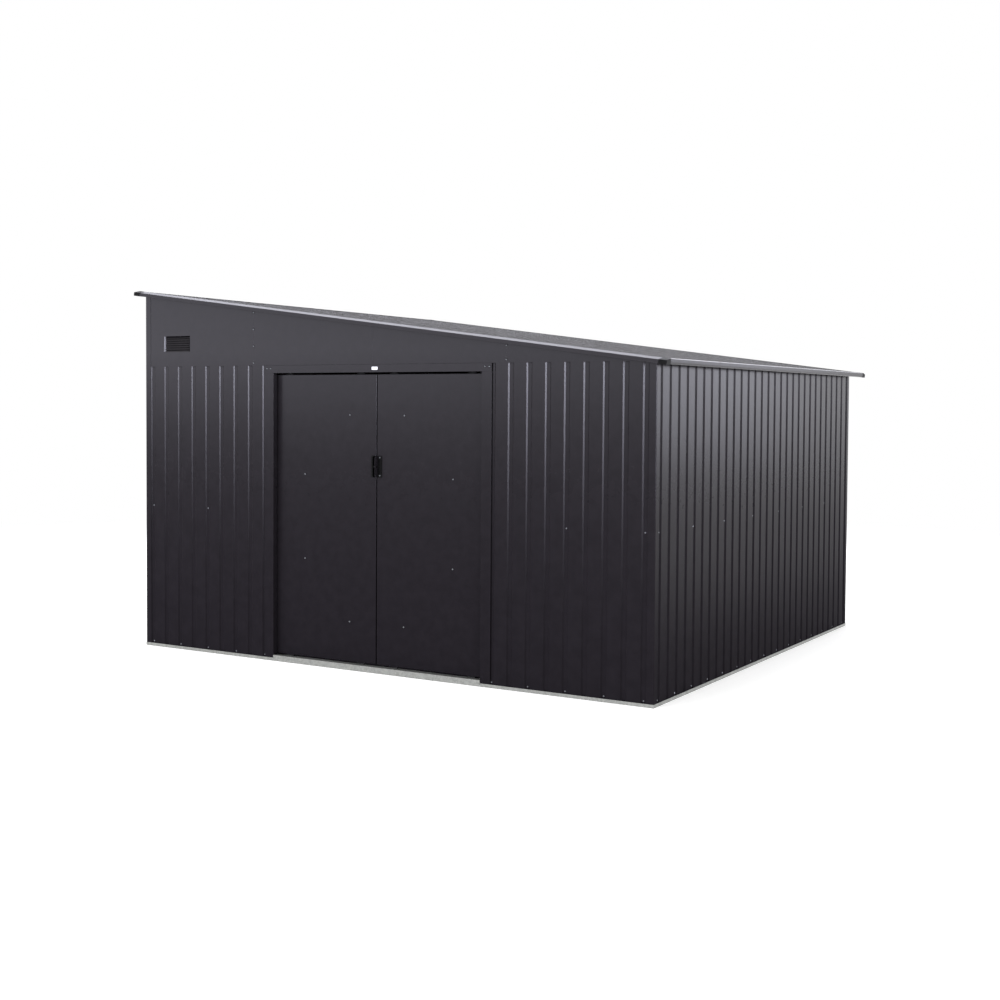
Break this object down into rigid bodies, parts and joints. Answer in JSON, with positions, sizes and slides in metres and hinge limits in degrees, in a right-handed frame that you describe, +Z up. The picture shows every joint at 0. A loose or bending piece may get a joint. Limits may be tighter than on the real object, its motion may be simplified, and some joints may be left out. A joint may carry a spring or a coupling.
{
  "type": "metal storage shed",
  "caption": "Lean-to storage shed of ribbed painted steel sheets on a galvanised channel base, with a single-slope roof, louvred vents and a pair of sliding doors on a roller track.",
  "frame": {"origin": "on the ground, under the middle of the roof's plan", "axes": "+Z up, +X from the high wall to the low wall, -Y out of the doors"},
  "size_m": [3.528, 3.35, 2.1848],
  "materials": {
    "painted_steel": "satin anthracite polyester paint on sheet steel",
    "galvanised_steel": "dull hot-dip galvanised",
    "black_plastic": "matt moulded",
    "nylon": "black moulded nylon on black zinc-plated hangers"
  },
  "bodies": {
    "shed": {"front_base_rails": "galvanised_steel", "door_sill": "galvanised_steel", "low_side_base_rail": "galvanised_steel", "high_side_base_rail": "galvanised_steel", "back_base_rail": "galvanised_steel", "front_high_corner_post": "painted_steel", "front_low_corner_post": "painted_steel", "back_high_corner_post": "painted_steel", "back_low_corner_post": "painted_steel", "front_wall_left": "painted_steel", "front_wall_right": "painted_steel", "low_side_wall": "painted_steel", "high_side_wall": "painted_steel", "back_wall": "painted_steel", "front_gable": "painted_steel", "back_gable": "painted_steel", "high_side_upper_wall": "painted_steel", "front_vent": "painted_steel", "back_vent": "painted_steel", "door_header": "painted_steel", "left_jamb": "painted_steel", "right_jamb": "painted_steel", "door_track": "galvanised_steel", "door_guide_rail": "galvanised_steel", "front_top_rail": "galvanised_steel", "back_top_rail": "galvanised_steel", "low_side_top_rail": "galvanised_steel", "high_side_top_rail": "galvanised_steel", "high_side_lap_rail": "galvanised_steel", "front_rake_rail": "galvanised_steel", "back_rake_rail": "galvanised_steel", "front_mid_rails": "galvanised_steel", "side_mid_rails": "galvanised_steel", "back_mid_rail": "galvanised_steel", "roof_beams": "galvanised_steel", "roof_sheets": "painted_steel", "front_verge_trim": "painted_steel", "back_verge_trim": "painted_steel", "low_eave_trim": "painted_steel", "high_eave_trim": "painted_steel", "roof_corner_caps": "black_plastic"},
    "left_door": {"left_door": "painted_steel", "left_door_braces": "galvanised_steel", "left_door_handle": "black_plastic", "left_door_running_gear": "nylon"},
    "right_door": {"right_door": "painted_steel", "right_door_braces": "galvanised_steel", "right_door_handle": "black_plastic", "right_door_running_gear": "nylon"}
  },
  "joints": [
    {"name": "left_door_slide", "type": "slide", "parent": "shed", "child": "left_door", "axis": [-1, 0, 0], "range_m": [0, 0.65]},
    {"name": "right_door_slide", "type": "slide", "parent": "shed", "child": "right_door", "axis": [1, 0, 0], "range_m": [0, 0.65]}
  ]
}
